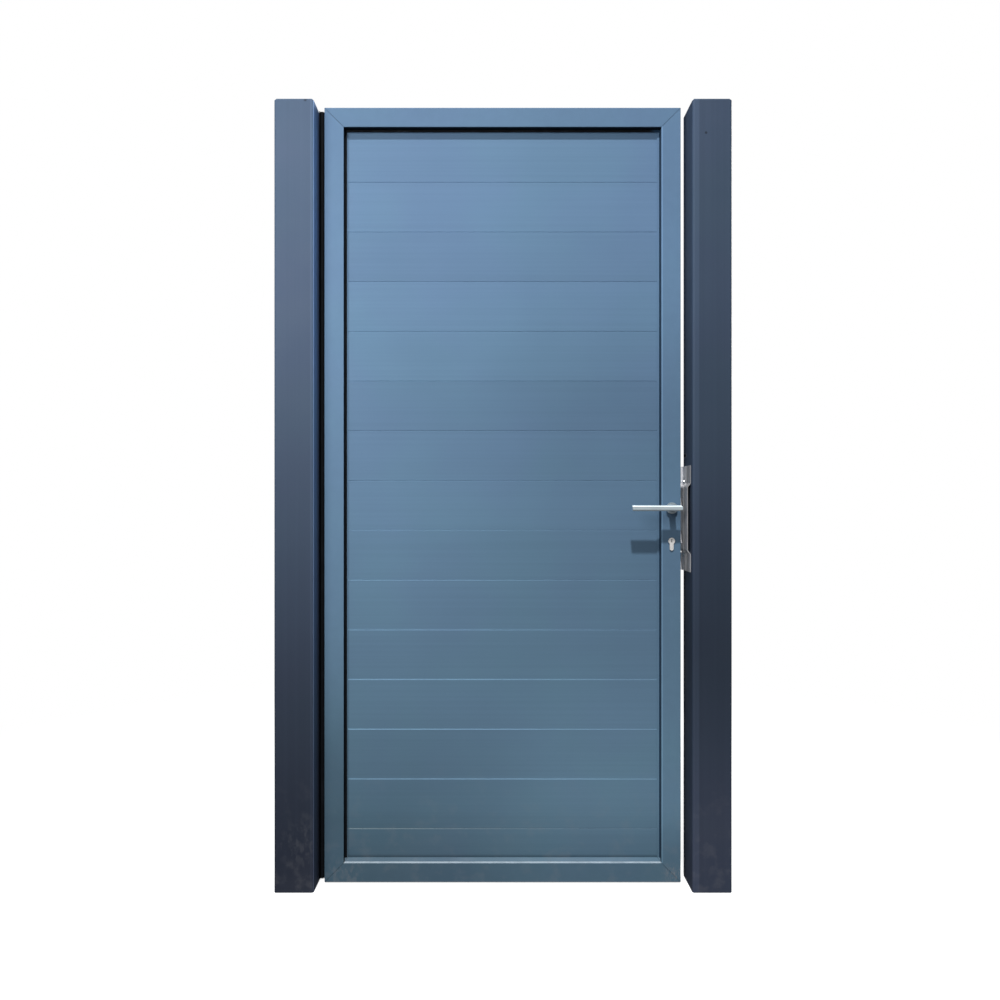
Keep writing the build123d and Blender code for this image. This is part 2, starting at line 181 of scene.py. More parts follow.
# Widths of bands and lines on the coats, in millimetres
BEAD_SHADE_HEIGHT = 9.0
JOINT_EDGE = (1.2, 2.0)
LOWEST_JOINT_LINE = (1.4, 1.0, 0.8)
LEDGE_HALF = 0.4
REVEAL_SHADE_BAND = (0.5, 0.2, 0.3)
REVEAL_SHADE_REACH = (1.0, 0.5)
REVEAL_SHADE_FROM_FACE = (1.5, 1.0)
EDGE_HIGHLIGHT_BAND = (0.8, 3.2, 0.8)
MITRE_LINE = (0.6, 2.2)

# Patches on the coats, in millimetres: across, up, radius and soft rim
LEFT_SMEAR = (52.0, 14.0, 10.0, 70.0)
RIGHT_SMEAR = (-22.0, 20.0, 4.0, 36.0)
POST_SPLASH = (-20.0, 120.0, 20.0, 75.0)
LATCH_CHIP = (34.0, -88.0, 2.2, 2.0)
HINGE_CHIP = (-21.0, -5.0, 2.6, 2.0)

# The latch post's spare hole, in millimetres; across the post it is drawn out by HOLE_SQUEEZE
HOLE_FROM_BACK = 20.0
HOLE_OVER_KEEP = 28.0
HOLE_EDGE = (3.2, 4.4)
HOLE_RIM_BAND = (4.4, 6.0, 0.6)
HOLE_SQUEEZE = 0.3

# Places and sizes of the lamps, in metres
KEY_FROM_LOCK = Vector((-1.22, -8.7, 14.4))
KEY_SIZE = 0.6
SIDE_PLACE = Vector((-0.9, -2.2, 2.3))
SIDE_TARGET = Vector((0.2, 0.0, 1.2))
SIDE_SIZE = 1.3
CARD_PLACE = Vector((0.5, -4.2, 1.4))
CARD_SIZE = 3.0
BACK_PLACE = Vector((3.0, 2.6, 2.6))
BACK_SIZE = 2.0

# The floor, in metres, and how much it glows by itself
FLOOR_HALF = 12.0
FLOOR_DROP = 0.0005
FLOOR_FADE = (0.9, 2.6)
FLOOR_GLOW = 0.72


# Settings


def colour_setting(name, description, default):
    """A colour that a user would change."""
    return FloatVectorProperty(
        name=name, description=description, default=default, subtype="COLOR", size=3, min=0.0, max=1.0
    )


def length_setting(name, description, millimetres):
    """A length that a user would change, kept in metres."""
    return FloatProperty(
        name=name,
        description=description,
        default=millimetres * MM,
        min=0.0,
        unit="LENGTH",
        subtype="DISTANCE",
    )


def share_setting(name, description, default):
    """A share from 0 to 1 that a user would change."""
    return FloatProperty(
        name=name, description=description, default=default, min=0.0, max=1.0, subtype="FACTOR"
    )


def power_setting(name, description, watts):
    """A lamp's power that a user would change."""
    return FloatProperty(name=name, description=description, default=watts, min=0.0, unit="POWER")


class GateCoats(PropertyGroup):
    """Colours, wear and painted light and shade of the powder coats"""

    # Painted light: each upper and lower pair holds part of the light's fall from the gate's top to the
    # ground, besides a fade of the coat itself.
    leaf_high: colour_setting("Leaf, upper", "Coat of the leaf near its top", (0.117, 0.207, 0.330))
    leaf_low: colour_setting("Leaf, lower", "Coat of the leaf near the ground", (0.088, 0.158, 0.222))
    post_high: colour_setting("Posts, upper", "Coat of the posts near their tops", (0.068, 0.103, 0.166))
    post_low: colour_setting("Posts, lower", "Coat of the posts near the ground", (0.019, 0.024, 0.038))
    # Painted shade: the latch post drawn darker than the hinge post above its foot
    latch_post: share_setting("Latch post", "Tone of the latch post beside the hinge post's", 0.66)
    dust: colour_setting("Dust", "Dry dust and splashes near the ground", (0.20, 0.20, 0.21))
    # Painted highlight along the bottom rail's ledge
    ledge_highlight_colour: colour_setting("Ledge dust", "Pale dust on the bottom rail's ledge", (0.62, 0.70, 0.77))
    # Painted highlight for the lowest joint's edge
    lowest_joint_colour: colour_setting("Joint dust", "Pale dust in the lowest joint", (0.30, 0.38, 0.40))
    # Painted shade: black for the reveals and the underside of the top rail
    reveal_shade_colour: colour_setting("Grime", "Black dirt in the sheltered reveals", (0.006, 0.008, 0.012))
    chip: colour_setting("Chips", "Dark chips near the posts' tops", (0.012, 0.014, 0.02))
    # Painted shade: the near-black of the spare hole, spread round it
    hole: colour_setting("Hole", "Stain at the latch post's spare hole", (0.002, 0.003, 0.004))
    rubbed: colour_setting("Rubbed", "Coat rubbed off the hinges", (0.16, 0.17, 0.19))
    dust_height: length_setting("Dust height", "How far up the splashes reach", 380.0)
    dust_amount: share_setting("Dust amount", "How much of the coat the dust hides", 0.11)
    roughness: share_setting("Roughness", "Roughness of a clean coat", 0.52)
    peel: length_setting("Peel depth", "Depth of the coat's fine orange peel", 0.05)


class GateMetals(PropertyGroup):
    """Colours of the bare metal and the rubber, with painted shade on the roses and on the rubber beside the
    lock stile
    """

    lever: colour_setting("Levers", "Satin anodised levers", (0.66, 0.76, 0.81))
    # Painted shade: the roses are coloured darker than the levers for the levers' shadow on them
    rose: colour_setting("Roses", "Duller round roses", (0.36, 0.42, 0.46))
    steel: colour_setting("Steel", "Brushed stainless forend and bolts", (0.34, 0.35, 0.37))
    keep: colour_setting("Keep", "Zinc-plated keep", (0.30, 0.30, 0.31))
    nickel: colour_setting("Nickel", "Plated lock cylinder", (0.80, 0.79, 0.78))
    pin: colour_setting("Pins", "Hinge pins and plated screws", (0.46, 0.46, 0.47))
    stain: colour_setting("Stains", "Dull stains on bare metal", (0.16, 0.15, 0.14))
    rubber: colour_setting("Rubber", "Black seals", (0.004, 0.005, 0.007))
    bloom: colour_setting("Bloom", "Grey bloom on the seals", (0.016, 0.019, 0.025))
    # Painted shade: the dark blue of the shaded reveal, given to the rubber beside the lock stile
    rubber_reveal_shade: colour_setting("Worn rubber", "Rubber beside the lock stile", (0.013, 0.034, 0.066))
    brush_depth: length_setting("Brush depth", "Depth of the brushed lines", 0.03)


class GateTrim(PropertyGroup):
    """Sizes of the seals and beads round the boards"""

    lip_height: length_setting("Lip height", "How far the frame's lips cover the boards", 8.0)
    lip_inset: length_setting("Lip inset", "From the leaf's face to the lip", 14.7)
    gasket_hinge: length_setting("Gasket, hinge side", "Width of the gasket up the hinge stile", 6.0)
    gasket_top: length_setting("Gasket, top", "Width of the gasket under the top rail", 7.5)
    gasket_lock: length_setting("Gasket, lock side", "Width of the squeezed gasket up the lock stile", 3.0)
    gasket_rise: length_setting("Gasket rise", "How far the gasket bulges from its lip", 1.6)
    bead_deep: length_setting("Bead depth", "Depth of the sloped bead along the bottom", 7.0)


class GateScrews(PropertyGroup):
    """Sizes of the screws"""

    keep_radius: length_setting("Keep screws", "Radius of the keep's screw heads", 5.0)
    hinge_radius: length_setting("Hinge screws", "Radius of the hinges' screw heads", 4.6)
    lock_radius: length_setting("Lock screws", "Radius of the forend's screw heads", 3.8)
    grub_radius: length_setting("Grub screws", "Radius of the levers' grub screws", 2.4)
    hinge_plate: length_setting("Hinge plate", "Width of a hinge plate", 34.0)
    sides: IntProperty(name="Sides", description="Sides of a round head", default=24, min=8, max=64)


class GateStage(PropertyGroup):
    """The studio"""

    camera_place: FloatVectorProperty(
        name="Camera",
        description="Place of the camera",
        default=(0.495, -2.066, 0.978),
        subtype="TRANSLATION",
        size=3,
    )
    lens: FloatProperty(name="Lens", description="Focal length in millimetres", default=28.78, min=1.0)
    shift: FloatVectorProperty(
        name="Shift", description="Shift of the picture", default=(0.010, 0.005), size=2
    )
    floor: colour_setting("Floor", "Pale floor", (0.50, 0.50, 0.50))
    bounce: colour_setting("Bounce", "Light that the floor throws back", (0.12, 0.12, 0.12))
    fill: FloatProperty(
        name="Fill", description="Strength of the light from all round", default=0.08, min=0.0
    )
    key: power_setting("Key lamp", "Lamp high in front", 3200.0)
    side: power_setting("Side lamp", "Soft lamp to the left", 48.0)
    card: power_setting("Front card", "Wide dim lamp in front", 14.0)
    back: power_setting("Back lamp", "Soft lamp behind", 110.0)


# Materials


class Nodes:
    """A node tree under construction."""

    def __init__(self, tree):
        self.tree = tree
        self.tree.nodes.clear()

    def feed(self, socket, value):
        """Links an output to a socket, or sets the socket to a number or a colour."""
        if isinstance(value, bpy.types.NodeSocket):
            self.tree.links.new(value, socket)
        elif socket.type == "RGBA":
            socket.default_value = (*tuple(value)[:3], 1.0)
        else:
            socket.default_value = value

    def node(self, kind, inputs=None, **settings):
        """A new node. A list feeds several outputs into one socket."""
        made = self.tree.nodes.new(kind)
        for key, value in settings.items():
            setattr(made, key, value)
        for key, value in (inputs or {}).items():
            for item in value if isinstance(value, list) else [value]:
                self.feed(made.inputs[key], item)
        return made

    def math(self, operation, first, second=0.0):
        return self.node("ShaderNodeMath", {0: first, 1: second}, operation=operation).outputs[0]


class Finish(Nodes):
    """A material under construction. Each call adds nodes and hands back an output to use further on."""

    def __init__(self, name):
        self.material = bpy.data.materials.new(name)
        self.material.use_nodes = True
        super().__init__(self.material.node_tree)
        self.place = self.node("ShaderNodeTexCoord").outputs["Object"]
        split = self.node("ShaderNodeSeparateXYZ", {"Vector": self.place})
        self.x, self.y, self.z = (split.outputs[axis] for axis in "XYZ")

    def product(self, *values):
        result = values[0]
        for value in values[1:]:
            result = self.math("MULTIPLY", result, value)
        return result

    def ramp(self, value, low, high, low_value=0.0, high_value=1.0):
        """A smooth step from low_value to high_value as the value goes from low to high."""
        inputs = {"Value": value, "From Min": low, "From Max": high}
        inputs.update({"To Min": low_value, "To Max": high_value})
        return self.node("ShaderNodeMapRange", inputs, interpolation_type="SMOOTHSTEP").outputs["Result"]

    def noise(self, scale, detail=2.0, stretch=(1.0, 1.0, 1.0), shift=(0.0, 0.0, 0.0)):
        moved = self.node("ShaderNodeMapping", {"Vector": self.place, "Scale": stretch, "Location": shift})
        inputs = {"Vector": moved.outputs[0], "Scale": scale, "Detail": detail}
        return self.node("ShaderNodeTexNoise", inputs).outputs["Fac"]

    def spread(self, value, amount):
        """A noise value turned into a factor round 1."""
        return self.ramp(value, *WIDE_NOISE, 1.0 - amount, 1.0 + amount)

    def mix(self, factor, first, second):
        made = self.node("ShaderNodeMix", data_type="RGBA")
        self.feed(made.inputs["Factor"], factor)
        self.feed(made.inputs[6], first)
        self.feed(made.inputs[7], second)
        return made.outputs[2]

    def tone(self, colour, value):
        """The colour, lighter or darker by a factor."""
        return self.node("ShaderNodeHueSaturation", {"Color": colour, "Value": value}).outputs[0]

    def paler(self, colour, amount):
        """The colour, lighter by a share."""
        return self.tone(colour, self.math("ADD", 1.0, amount))

    def duller(self, colour, amount):
        """The colour, darker by a share."""
        return self.tone(colour, self.math("SUBTRACT", 1.0, amount))

    def hue(self, colour, hue):
        """The colour, its hue turned where the value leaves a half."""
        return self.node("ShaderNodeHueSaturation", {"Color": colour, "Hue": hue}).outputs[0]

    def band(self, value, low, high, soft):
        """One while the value lies from low to high, with soft ends outside."""
        rise = self.ramp(value, low - soft, low)
        return self.product(rise, self.ramp(value, high, high + soft, 1.0, 0.0))

    def away(self, first, first_middle, second, second_middle):
        """The distance from a point, in two of the three directions."""
        along = self.math("SUBTRACT", first, first_middle)
        across = self.math("SUBTRACT", second, second_middle)
        return self.math("SQRT", self.math("ADD", self.product(along, along), self.product(across, across)))

    def spot(self, x, z, radius, soft):
        """A round patch on the faces that look forwards or backwards."""
        return self.ramp(self.away(self.x, x, self.z, z), radius, radius + soft, 1.0, 0.0)

    def bump(self, height, depth, below=None):
        inputs = {"Height": height, "Distance": depth, "Strength": 1.0}
        if below is not None:
            inputs["Normal"] = below
        return self.node("ShaderNodeBump", inputs).outputs[0]

    def blend(self, factor, first, second):
        """One shader turning into another as the factor goes from 0 to 1."""
        return self.node("ShaderNodeMixShader", {0: factor, 1: first, 2: second}).outputs[0]

    def end(self, shader):
        self.node("ShaderNodeOutputMaterial", {"Surface": shader})
        return self.material

    def surface(self, **sockets):
        """Ends the material in one principled shader. A socket's name has underscores for spaces."""
        inputs = {key.replace("_", " "): value for key, value in sockets.items()}
        return self.end(self.node("ShaderNodeBsdfPrincipled", inputs).outputs[0])


def coat_colour(finish, high, low, grain, streaks):
    """A coat that is paler up the gate, partly a fade of the coat and partly painted light falling off
    towards the ground, with soft clouds and fine lines along the extrusion.
    """
    colour = finish.mix(finish.ramp(finish.z, 0.0, GATE_TOP), low, high)
    clouds = finish.noise(2.6, 3.0)
    colour = finish.tone(colour, finish.spread(clouds, CLOUDS))
    warmth = finish.noise(4.0, 2.0, shift=(3.0, 1.0, 7.0))
    colour = finish.hue(colour, finish.ramp(warmth, *SOFT_NOISE, *WARMTH))
    lines = finish.noise(1.0, 3.0, stretch=grain)
    return finish.tone(colour, finish.spread(lines, streaks))


def dusted(finish, coats, colour, *patches):
    """Dust over a coat: patchy splashes near the ground, and denser patches where they are given."""
    low = finish.ramp(finish.z, 0.0, coats.dust_height, 1.0, 0.0)
    splashes = finish.ramp(finish.noise(28.0, 6.0), 0.50, 0.72)
    film = finish.ramp(finish.noise(6.0, 3.0), 0.35, 0.75)
    cover = finish.product(low, finish.math("ADD", finish.product(film, FILM_COVER), splashes))
    for patch in patches:
        smear = finish.ramp(finish.noise(90.0, 5.0, stretch=(1.0, 1.0, 0.55)), 0.42, 0.66)
        cover = finish.math("MAXIMUM", cover, finish.product(patch, smear, SMEAR_COVER))
    cover = finish.product(cover, coats.dust_amount)
    return finish.mix(cover, colour, coats.dust), cover


def coated(finish, coats, colour, cover, grain):
    """The powder coat's shader: satin, with orange peel, and duller where dust lies."""
    glossy, dull = coats.roughness - 0.06, coats.roughness + 0.07
    worn = finish.ramp(finish.noise(9.0, 4.0), *SOFT_NOISE, glossy, dull)
    roughness = finish.math("ADD", worn, finish.product(cover, 0.35))
    lines = finish.bump(finish.noise(1.0, 2.0, stretch=grain), coats.peel)
    normal = finish.bump(finish.noise(650.0, 3.0), coats.peel, lines)
    return finish.surface(Base_Color=colour, Roughness=roughness, Specular_IOR_Level=0.12, Normal=normal)


def leaf_tone(finish, colour):
    """The leaf's tones: painted shade towards the lock side and at the foot, darker in the middle of the
    lock side, darker low on the hinge side and paler low on the lock side.
    """
    across = finish.ramp(finish.x, LEAF_LOW.x, LEAF_HIGH.x)
    low = finish.ramp(finish.z, *LOW_SHADE, 1.0, 0.0)
    rise = finish.ramp(finish.z, *MIDDLE_RISE)
    middle = finish.product(rise, finish.ramp(finish.z, *MIDDLE_FALL, 1.0, 0.0))
    colour = finish.duller(colour, finish.product(across, middle, MIDDLE_DULL))
    # Painted shade growing towards the lock side, as the light is stronger from the hinge side
    colour = finish.duller(colour, finish.product(across, LOCK_SIDE_SHADE))
    low_tone = finish.ramp(across, 0.0, 1.0, *LOW_TONES)
    colour = finish.paler(colour, finish.product(low, low_tone))
    # Painted shade at the foot of the leaf
    return finish.tone(colour, finish.ramp(finish.z, *FOOT_SHADE, FOOT_TONE, 1.0))


def in_metres(millimetres):
    """A row of lengths in metres."""
    return [length * MM for length in millimetres]


def patch(finish, x, z, row):
    """A soft round patch, its row counted from a point of the gate."""
    across, up, radius, soft = in_metres(row)
    return finish.spot(x + across, z + up, radius, soft)


def board_tone(finish, colour):
    """A tone of its own for each board."""
    from_top = finish.math("SUBTRACT", BOARD_LOW.z, finish.z)
    number = finish.math("FLOOR", finish.math("DIVIDE", from_top, BOARD_PITCH))
    own = finish.node("ShaderNodeTexWhiteNoise", {"W": number}, noise_dimensions="1D").outputs["Value"]
    return finish.tone(colour, finish.ramp(own, 0.0, 1.0, *BOARD_TONES))


def lit_joints(finish, colour):
    """Light on the joints' edges, stronger low down and on the hinge side, none at the lowest joint."""
    boards_up = finish.math("DIVIDE", finish.math("SUBTRACT", finish.z, LAST_JOINT), BOARD_PITCH)
    off_joint = finish.math("SUBTRACT", finish.math("FRACT", finish.math("ADD", boards_up, 0.5)), 0.5)
    from_joint = finish.product(finish.math("ABSOLUTE", off_joint), BOARD_PITCH)
    lit = finish.ramp(from_joint, *in_metres(JOINT_EDGE), 1.0, 0.0)
    lit = finish.product(lit, finish.ramp(finish.z, *LIT_JOINTS, 1.0, JOINT_GLOW_HIGH))
    to_lock = finish.ramp(finish.x, LEAF_LOW.x + 0.3, LEAF_HIGH.x, 1.0, JOINT_GLOW_LOCK_SIDE)
    lit = finish.product(lit, to_lock)
    lit = finish.product(lit, finish.ramp(finish.z, LAST_JOINT + 0.02, LAST_JOINT + 0.04))
    return finish.paler(colour, finish.product(lit, JOINT_GLOW))


def lowest_joint_highlight(finish, coats, colour):
    """A pale painted highlight along the lowest joint, which fades towards the lock."""
    below, above, soft = in_metres(LOWEST_JOINT_LINE)
    line = finish.band(finish.z, LAST_JOINT - below, LAST_JOINT + above, soft)
    line = finish.product(line, finish.ramp(finish.x, LEAF_LOW.x, LEAF_HIGH.x - 0.2, LOWEST_JOINT_HIGHLIGHT, 0.0))
    return finish.mix(line, colour, coats.lowest_joint_colour)


def board_coat(coats, trim):
    """The boards: one tone a board, painted shade above the bead, lit joints and a painted highlight in the
    lowest one.
    """
    finish = Finish("board_coat")
    colour = coat_colour(finish, coats.leaf_high, coats.leaf_low, BOARD_GRAIN, BOARD_STREAKS)
    colour = board_tone(finish, leaf_tone(finish, colour))
    foot = panel_opening(trim)[2] + trim.lip_height
    # Painted shade in a narrow band just above the bead
    colour = finish.tone(colour, finish.ramp(finish.z, foot, foot + BEAD_SHADE_HEIGHT * MM, BEAD_SHADE_TONE, 1.0))
    colour, cover = dusted(finish, coats, colour)
    colour = lowest_joint_highlight(finish, coats, lit_joints(finish, colour))
    return coated(finish, coats, colour, cover, BOARD_GRAIN)


def ledge_highlight(finish, trim, from_side):
    """How much patchy painted highlight lies along the bottom rail's ledge."""
    ledge = panel_opening(trim)[2]
    half = LEDGE_HALF * MM
    on_ledge = finish.band(finish.z, ledge - half, ledge + half, half)
    stile_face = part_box("hinge_stile")[1].x - LEAF_LOW.x - trim.lip_height
    on_rail = finish.ramp(from_side, stile_face - 1.0 * MM, stile_face)
    return finish.product(on_ledge, on_rail, finish.ramp(finish.noise(30.0, 4.0), 0.3, 0.6, *LEDGE_HIGHLIGHT))


def reveal_shade(finish, trim):
    """Painted shade: black under the top rail and on the hinge side's reveal, weaker on the lock side's."""
    left, right, bottom, top = panel_opening(trim)
    inner, outer, soft = in_metres(REVEAL_SHADE_BAND)
    reach, reach_soft = in_metres(REVEAL_SHADE_REACH)
    face, face_soft = in_metres(REVEAL_SHADE_FROM_FACE)
    under = finish.band(finish.z, top - inner, top + outer, soft)
    under = finish.product(under, finish.band(finish.x, left - reach, right + reach, reach_soft))
    hinge_side = finish.band(finish.x, left - outer, left + inner, soft)
    lock_side = finish.band(finish.x, right - inner, right + outer, soft)
    sides = finish.math("MAXIMUM", hinge_side, finish.product(lock_side, REVEAL_SHADE_LOCK_SIDE))
    sides = finish.product(sides, finish.band(finish.z, bottom - reach, top + reach, reach_soft))
    inside = finish.band(finish.y, LEAF_LOW.y + face, LEAF_HIGH.y - face, face_soft)
    return finish.product(inside, finish.math("MAXIMUM", under, sides))


def frame_tone(finish, trim, colour):
    """Darker at the top and low on the hinge stile, with a painted highlight along the lock stile's inner
    edge.
    """
    colour = finish.tone(colour, finish.ramp(finish.z, *FRAME_TOP_SHADE, 1.0, FRAME_TOP_TONE))
    by_hinges = finish.ramp(finish.x, LEAF_LOW.x + 0.05, LEAF_LOW.x + 0.12, 1.0, 0.0)
    rise = finish.ramp(finish.z, *STILE_RISE)
    low_down = finish.product(rise, finish.ramp(finish.z, *STILE_FALL, 1.0, 0.0))
    colour = finish.duller(colour, finish.product(by_hinges, low_down, STILE_DULL))
    _, lock_edge, sill, head = panel_opening(trim)
    # Painted highlight along the lock stile's inner edge
    near, far, soft = in_metres(EDGE_HIGHLIGHT_BAND)
    lock_edge_highlight = finish.band(finish.x, lock_edge + near, lock_edge + far, soft)
    lock_edge_highlight = finish.product(lock_edge_highlight, finish.band(finish.z, sill - 1.0 * MM, head + 1.0 * MM, 1.0 * MM))
    return finish.paler(colour, finish.product(lock_edge_highlight, EDGE_GLOW))


def from_edges(finish):
    """How far a point lies from the leaf's nearer side and from its nearer end."""
    from_left = finish.math("SUBTRACT", finish.x, LEAF_LOW.x)
    from_right = finish.math("SUBTRACT", LEAF_HIGH.x, finish.x)
    from_below = finish.math("SUBTRACT", finish.z, LEAF_LOW.z)
    from_above = finish.math("SUBTRACT", LEAF_HIGH.z, finish.z)
    from_side = finish.math("MINIMUM", from_left, from_right)
    return from_side, finish.math("MINIMUM", from_below, from_above)


def frame_coat(coats, trim):
    """The mitred frame: dirt in the mitres, a painted highlight on the ledge, painted shade in the reveals,
    smears and scratches at the lower corners.
    """
    finish = Finish("frame_coat")
    colour = coat_colour(finish, coats.leaf_high, coats.leaf_low, FRAME_GRAIN, FRAME_STREAKS)
    colour = frame_tone(finish, trim, leaf_tone(finish, colour))
    from_side, from_end = from_edges(finish)
    off_mitre = finish.math("SUBTRACT", from_side, from_end)
    colour = finish.tone(colour, finish.ramp(off_mitre, -1.0 * MM, 1.0 * MM, *MITRE_SIDES))
    mitre = finish.ramp(finish.math("ABSOLUTE", off_mitre), *in_metres(MITRE_LINE), 1.0, 0.0)
    colour = finish.tone(colour, finish.ramp(mitre, 0.0, 1.0, 1.0, MITRE_TONE))
    left_corner = patch(finish, LEAF_LOW.x, LEAF_LOW.z, LEFT_SMEAR)
    right_corner = patch(finish, LEAF_HIGH.x, LEAF_LOW.z, RIGHT_SMEAR)
    smears = finish.product(finish.math("MAXIMUM", left_corner, right_corner), SMEARS)
    colour, cover = dusted(finish, coats, colour, smears)
    strokes = finish.noise(1.0, 1.0, stretch=SCRATCH_GRAIN)
    scratch = finish.product(right_corner, finish.ramp(strokes, 0.57, 0.62), SCRATCHES)
    colour = finish.mix(scratch, colour, coats.dust)
    # Painted highlight along the bottom rail's ledge
    colour = finish.mix(ledge_highlight(finish, trim, from_side), colour, coats.ledge_highlight_colour)
    # Painted shade in the reveals and under the top rail
    colour = finish.mix(finish.product(reveal_shade(finish, trim), REVEAL_SHADE_AMOUNT), colour, coats.reveal_shade_colour)
    return coated(finish, coats, colour, cover, FRAME_PEEL)


def post_tone(finish, coats, colour, inner_edge, latch_edge):
    """The posts' painted light and shade: the latch post darker above and paler at its foot, a lit inner
    side by the hinges and highlights along the inner edges.
    """
    # Painted shade on the latch post above its foot, painted light at the foot
    latch_post_light = finish.ramp(finish.z, 0.0, LATCH_POST_EVEN, LATCH_POST_FOOT_LIGHT, coats.latch_post)
    by_latch = finish.ramp(finish.x, inner_edge, latch_edge)
    colour = finish.mix(by_latch, colour, finish.tone(colour, latch_post_light))
    # Painted light on the hinge post's inner side in front of the seal
    inner_side = finish.ramp(finish.x, inner_edge - 3.0 * MM, inner_edge - 0.5 * MM)
    inner_side = finish.product(inner_side, finish.ramp(finish.x, inner_edge, inner_edge + 0.1, 1.0, 0.0))
    seal_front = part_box("hinge_gap_seal")[0].y
    in_front = finish.ramp(finish.y, seal_front - 5.0 * MM, seal_front, 1.0, 0.0)
    colour = finish.paler(colour, finish.product(finish.product(inner_side, in_front), INNER_SIDE_GLOW))
    # Painted highlights along the posts' inner front edges
    hinge_edge = finish.band(finish.x, inner_edge - 7.5 * MM, inner_edge - 4.5 * MM, 1.0 * MM)
    latch_band = finish.ramp(finish.x, latch_edge + 14.0 * MM, latch_edge + 19.0 * MM, 1.0, 0.0)
    latch_band = finish.product(latch_band, finish.ramp(finish.x, latch_edge - 0.1, latch_edge + 2.0 * MM))
    edges = [finish.product(edge, POST_EDGE_GLOW) for edge in (hinge_edge, latch_band)]
    return finish.paler(colour, finish.math("ADD", *edges))


def spare_hole(finish, coats, colour, latch_edge):
    """Painted shade: a near-black patch in and round the spare hole above the keep, drawn out across the
    post, with a chipped rim.
    """
    across = finish.product(finish.y, HOLE_SQUEEZE)
    hole_y = HOLE_SQUEEZE * (LEAF_HIGH.y - HOLE_FROM_BACK * MM)
    hole_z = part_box("latch_keep")[1].z + HOLE_OVER_KEEP * MM
    from_hole = finish.away(across, hole_y, finish.z, hole_z)
    on_side = finish.band(finish.x, latch_edge - 1.0 * MM, latch_edge + 0.5 * MM, 0.5 * MM)
    # Painted shade for the dark of the hole
    hole = finish.product(on_side, finish.ramp(from_hole, *in_metres(HOLE_EDGE), 1.0, 0.0))
    rim = finish.product(on_side, finish.band(from_hole, *in_metres(HOLE_RIM_BAND)), HOLE_RIM)
    return finish.mix(hole, finish.mix(rim, colour, coats.dust), coats.hole)


def post_coat(coats):
    """The posts: darker, with streaks up and down, chips near the tops and splashes at the foot."""
    finish = Finish("post_coat")
    colour = coat_colour(finish, coats.post_high, coats.post_low, POST_GRAIN, POST_STREAKS)
    inner_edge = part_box("hinge_post")[1].x
    latch_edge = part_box("latch_post")[0].x
    colour = post_tone(finish, coats, colour, inner_edge, latch_edge)
    colour, cover = dusted(finish, coats, colour, patch(finish, inner_edge, 0.0, POST_SPLASH))
    for edge, row in ((latch_edge, LATCH_CHIP), (inner_edge, HINGE_CHIP)):
        chip = finish.product(patch(finish, edge, GATE_TOP, row), CHIPS)
        colour = finish.mix(chip, colour, coats.chip)
    colour = spare_hole(finish, coats, colour, latch_edge)
    return coated(finish, coats, colour, cover, POST_GRAIN)


def hinge_coat(coats):
    """The hinges' own coat: as dark as the posts, rubbed paler round the knuckles."""
    finish = Finish("hinge_coat")
    colour = coat_colour(finish, coats.post_high, coats.post_low, HINGE_GRAIN, POST_STREAKS)
    rubbed = finish.ramp(finish.noise(120.0, 5.0), 0.56, 0.70, 0.0, 0.30)
    colour = finish.mix(rubbed, colour, coats.rubbed)
    colour, cover = dusted(finish, coats, colour)
    return coated(finish, coats, colour, cover, HINGE_GRAIN)


def brushed_metal(name, colour, metals, brush, roughness, stains=0.10, metallic=1.0):
    """Bare metal with fine brushed lines, uneven gloss and a few dull stains."""
    finish = Finish(name)
    lines = finish.noise(1.0, 3.0, stretch=brush)
    tint = finish.tone(colour, finish.spread(lines, BRUSHED))
    stain = finish.ramp(finish.noise(45.0, 5.0), *STAIN_NOISE, 0.0, stains)
    tint = finish.mix(stain, tint, metals.stain)
    gloss = finish.ramp(lines, *WIDE_NOISE, roughness - 0.08, roughness + 0.10)
    normal = finish.bump(lines, metals.brush_depth)
    return finish.surface(Base_Color=tint, Metallic=metallic, Roughness=gloss, Normal=normal)


def keep_zinc(metals):
    """Dull zinc plate with upright lines, with painted light making it paler where the leaf shades it and at
    the very back.
    """
    finish = Finish("keep_zinc")
    lines = finish.noise(1.0, 3.0, stretch=KEEP_BRUSH)
    tint = finish.tone(metals.keep, finish.spread(lines, KEEP_BRUSHED))
    # Painted light: lifts the keep where the leaf's shadow falls on it, and more at its back edges
    sheltered = finish.ramp(finish.y, LEAF_LOW.y - 8.0 * MM, LEAF_LOW.y + 12.0 * MM, 1.0, 2.2)
    at_back = finish.ramp(finish.y, 28.0 * MM, 33.0 * MM, 1.0, 1.25)
    tint = finish.tone(tint, finish.product(sheltered, at_back))
    stain = finish.ramp(finish.noise(45.0, 5.0), *STAIN_NOISE, 0.0, 0.25)
    tint = finish.mix(stain, tint, metals.stain)
    gloss = finish.ramp(lines, *WIDE_NOISE, 0.34, 0.52)
    normal = finish.bump(lines, metals.brush_depth)
    return finish.surface(Base_Color=tint, Metallic=0.3, Roughness=gloss, Normal=normal)


